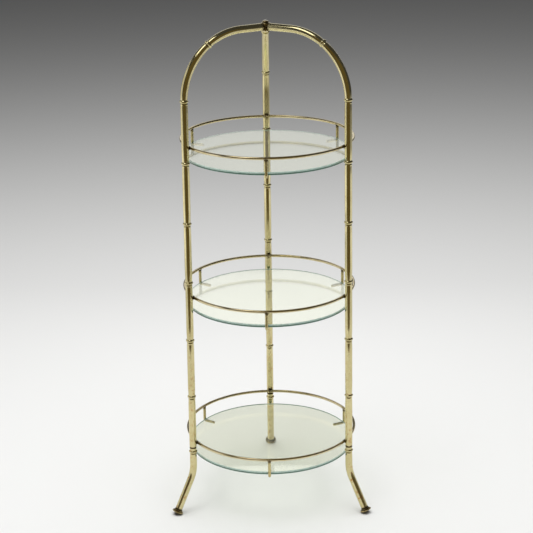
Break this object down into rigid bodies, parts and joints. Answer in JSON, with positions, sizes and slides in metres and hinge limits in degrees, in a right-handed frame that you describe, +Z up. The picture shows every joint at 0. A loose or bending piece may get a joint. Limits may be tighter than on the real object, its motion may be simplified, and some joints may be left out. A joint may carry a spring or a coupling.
{
  "type": "tiered cake stand",
  "caption": "Bamboo-pattern brass tripod whose legs arch up to a crown, with round glass shelves set one above another in gallery rails and resting loose on bent prongs.",
  "frame": {"origin": "on the floor plane, at the centre of the stand's box in plan; the stand's own upright axis stands 23.6 mm in front of it, at y = -0.0236", "axes": "+Z up along the stand's height, -Y towards the front, between the two front legs, +X to the right as seen from the front"},
  "size_m": [0.3356, 0.3372, 0.822],
  "materials": {
    "tube_brass": "polished, lightly tarnished",
    "rod_brass": "polished, lightly tarnished",
    "fitting_brass": "darkened, worn",
    "clear_glass": "clear float glass, green at the edge"
  },
  "bodies": {
    "stand_frame": {"leg_front_left": "tube_brass", "leg_front_right": "tube_brass", "leg_rear": "tube_brass", "foot_front_left": "fitting_brass", "foot_front_right": "fitting_brass", "foot_rear": "fitting_brass", "crown_hub": "fitting_brass", "crown_finial": "fitting_brass", "rail_top": "rod_brass", "rail_middle": "rod_brass", "rail_bottom": "rod_brass", "bracket_top_front": "rod_brass", "bracket_top_right": "rod_brass", "bracket_top_left": "rod_brass", "bracket_middle_front": "rod_brass", "bracket_middle_right": "rod_brass", "bracket_middle_left": "rod_brass", "bracket_bottom_front": "rod_brass", "bracket_bottom_right": "rod_brass", "bracket_bottom_left": "rod_brass"},
    "top_shelf_glass": {"shelf_top": "clear_glass"},
    "middle_shelf_glass": {"shelf_middle": "clear_glass"},
    "bottom_shelf_glass": {"shelf_bottom": "clear_glass"}
  },
  "joints": [
    {"name": "top_shelf_lift", "type": "slide", "parent": "stand_frame", "child": "top_shelf_glass", "axis": [0, 0, 1], "range_m": [0, 0.1]},
    {"name": "middle_shelf_lift", "type": "slide", "parent": "stand_frame", "child": "middle_shelf_glass", "axis": [0, 0, 1], "range_m": [0, 0.235]},
    {"name": "bottom_shelf_lift", "type": "slide", "parent": "stand_frame", "child": "bottom_shelf_glass", "axis": [0, 0, 1], "range_m": [0, 0.24]}
  ]
}
